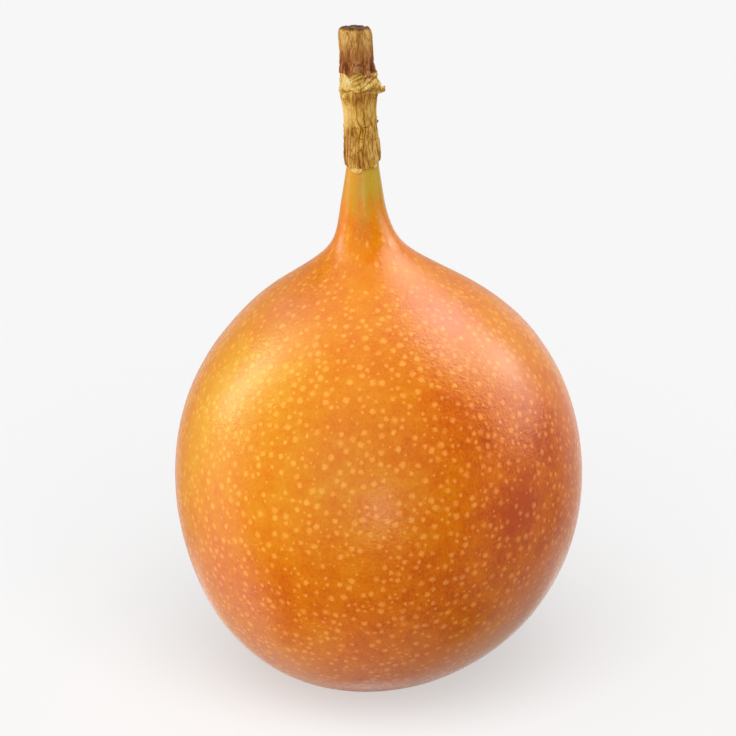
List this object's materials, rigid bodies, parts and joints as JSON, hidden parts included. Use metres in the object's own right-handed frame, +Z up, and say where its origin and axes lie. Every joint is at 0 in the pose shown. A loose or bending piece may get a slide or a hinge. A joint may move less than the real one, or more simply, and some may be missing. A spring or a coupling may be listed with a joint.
{
  "type": "passion fruit",
  "caption": "Whole sweet passion fruit with a round belly, a drawn-out neck and a dry woody stalk, standing on a small flat spot.",
  "frame": {"origin": "middle of the small flat spot that the fruit stands on", "axes": "+Z up along the fruit to its stalk, -Y towards the front seen in the picture, +X to its right"},
  "size_m": [0.0648, 0.0648, 0.1053],
  "materials": {
    "rind": "satin",
    "bark": "matte"
  },
  "bodies": {
    "root": {"fruit": "rind", "stalk": "bark"}
  },
  "joints": []
}
